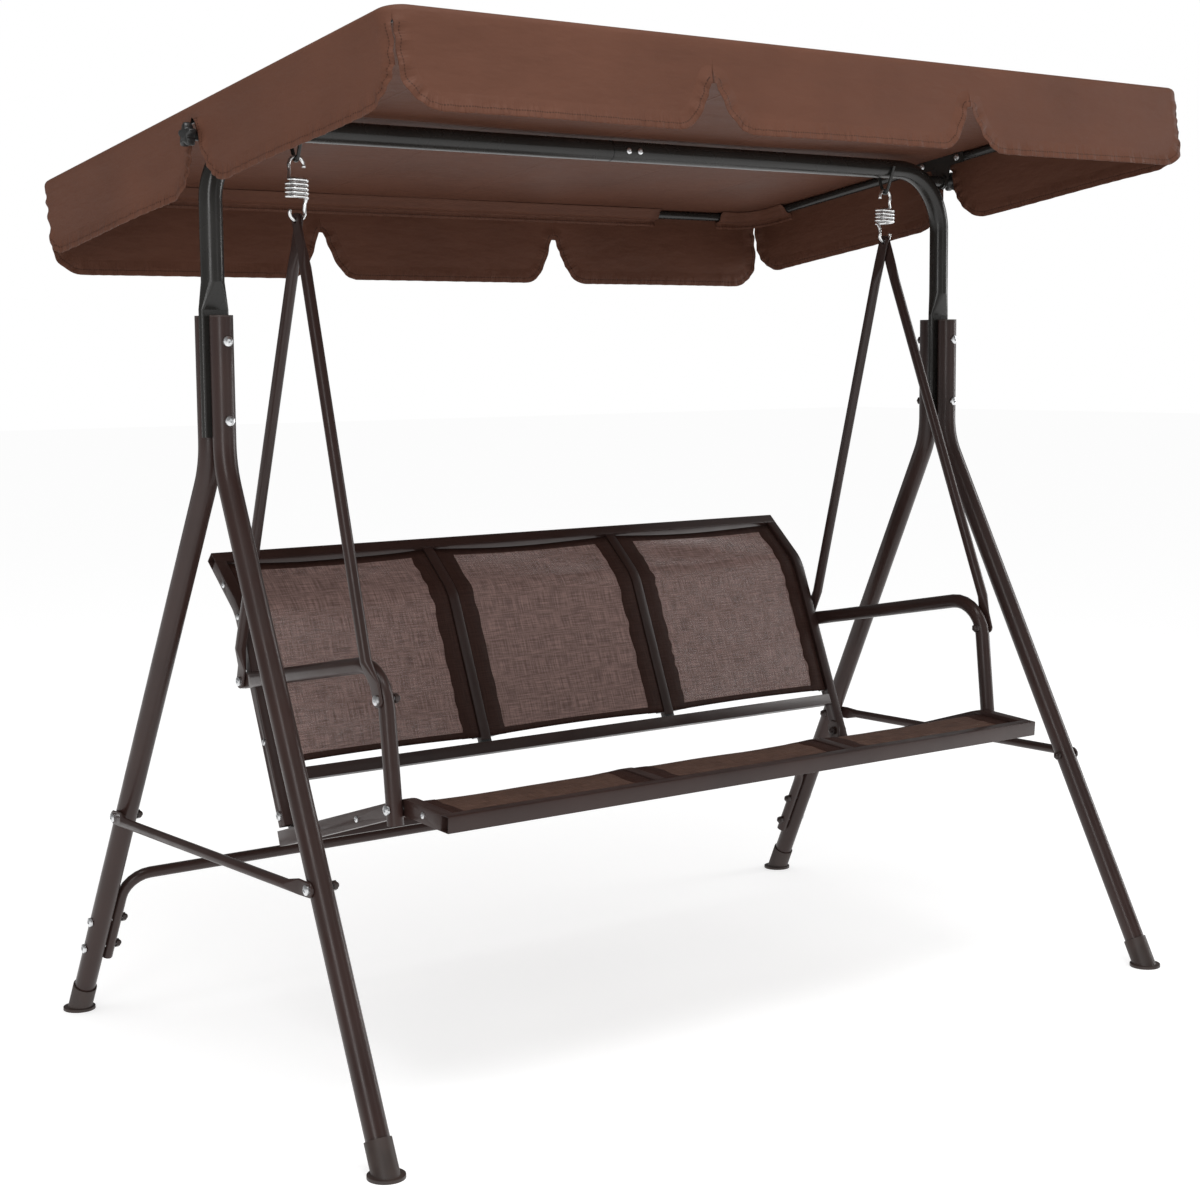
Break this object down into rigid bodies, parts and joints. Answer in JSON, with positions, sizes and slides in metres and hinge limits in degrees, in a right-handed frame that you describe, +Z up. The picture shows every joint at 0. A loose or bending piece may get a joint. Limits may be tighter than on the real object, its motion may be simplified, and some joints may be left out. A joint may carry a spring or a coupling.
{
  "type": "garden swing",
  "caption": "Garden swing seat with sling panels, hung by springs and tube hangers from a bent tube stand, under a fabric canopy whose tilt is held by star knobs.",
  "frame": {"origin": "on the floor, midway between the four feet", "axes": "+X to the sitter's left, which is the right of someone facing the swing, +Y to the back, +Z up"},
  "size_m": [1.67, 1.1207, 1.555],
  "materials": {
    "frame_coat": "dark brown powder coat, satin",
    "bar_coat": "dark grey-brown powder coat, satin",
    "zinc": "bright zinc plating",
    "black_plastic": "moulded, matte",
    "brown_plastic": "moulded, matte",
    "sling_fabric": "woven coated polyester mesh with dark hems",
    "canopy_fabric": "plain woven polyester"
  },
  "bodies": {
    "stand": {"leg_front_left": "frame_coat", "leg_front_right": "frame_coat", "leg_rear_left": "frame_coat", "leg_rear_right": "frame_coat", "feet": "brown_plastic", "leg_top_caps": "brown_plastic", "top_bar_left": "bar_coat", "top_bar_right": "bar_coat", "top_bar_screws": "zinc", "spring_eyes": "frame_coat", "tilt_bracket_left": "frame_coat", "tilt_bracket_right": "frame_coat", "tilt_bolts": "zinc", "side_brace_left": "frame_coat", "side_brace_right": "frame_coat", "rear_stretcher": "frame_coat", "leg_bolts": "zinc", "brace_bolts": "zinc", "stretcher_bolts": "zinc", "stand_nuts": "frame_coat"},
    "springs": {"spring_left": "zinc", "spring_right": "zinc"},
    "seat": {"hanger_front_left": "frame_coat", "hanger_front_right": "frame_coat", "hanger_rear_left": "frame_coat", "hanger_rear_right": "frame_coat", "armrest_left": "frame_coat", "armrest_right": "frame_coat", "arm_bolts": "zinc", "seat_nuts": "frame_coat", "seat_front_rail": "frame_coat", "seat_rear_rail": "frame_coat", "seat_side_rail_left": "frame_coat", "seat_side_rail_right": "frame_coat", "seat_bar_left": "frame_coat", "seat_bar_right": "frame_coat", "seat_panel_left": "sling_fabric", "seat_panel_middle": "sling_fabric", "seat_panel_right": "sling_fabric", "back_top_rail": "frame_coat", "back_bottom_rail": "frame_coat", "back_side_rail_left": "frame_coat", "back_side_rail_right": "frame_coat", "back_bar_left": "frame_coat", "back_bar_right": "frame_coat", "back_panel_left": "sling_fabric", "back_panel_middle": "sling_fabric", "back_panel_right": "sling_fabric", "rail_screws": "zinc", "back_bolts": "zinc", "sling_rods": "zinc", "bar_end_caps": "black_plastic"},
    "canopy": {"canopy_hoop_front": "frame_coat", "canopy_hoop_rear": "frame_coat", "tilt_plate_left": "frame_coat", "tilt_plate_right": "frame_coat", "canopy_bolts": "zinc", "canopy_cover": "canopy_fabric"},
    "knob_left": {"knob_left": "black_plastic"},
    "knob_right": {"knob_right": "black_plastic"}
  },
  "joints": [
    {"name": "swing", "type": "hinge", "parent": "stand", "child": "springs", "pos_m": [0, 0, 1.4103], "axis": [1, 0, 0], "range_deg": [-25, 25]},
    {"name": "bounce", "type": "slide", "parent": "springs", "child": "seat", "axis": [0, 0, -1], "range_m": [0, 0.02], "stiffness_N_per_m": 128000, "springref_m": -0.002, "deforming": ["spring_left", "spring_right"]},
    {"name": "canopy_tilt", "type": "hinge", "parent": "stand", "child": "canopy", "pos_m": [0, 0, 1.432], "axis": [1, 0, 0], "range_deg": [-22, 38]},
    {"name": "knob_left_turn", "type": "hinge", "parent": "stand", "child": "knob_left", "pos_m": [-0.809, 0, 1.432], "axis": [1, 0, 0], "continuous": true},
    {"name": "knob_right_turn", "type": "hinge", "parent": "stand", "child": "knob_right", "pos_m": [0.809, 0, 1.432], "axis": [1, 0, 0], "continuous": true}
  ]
}
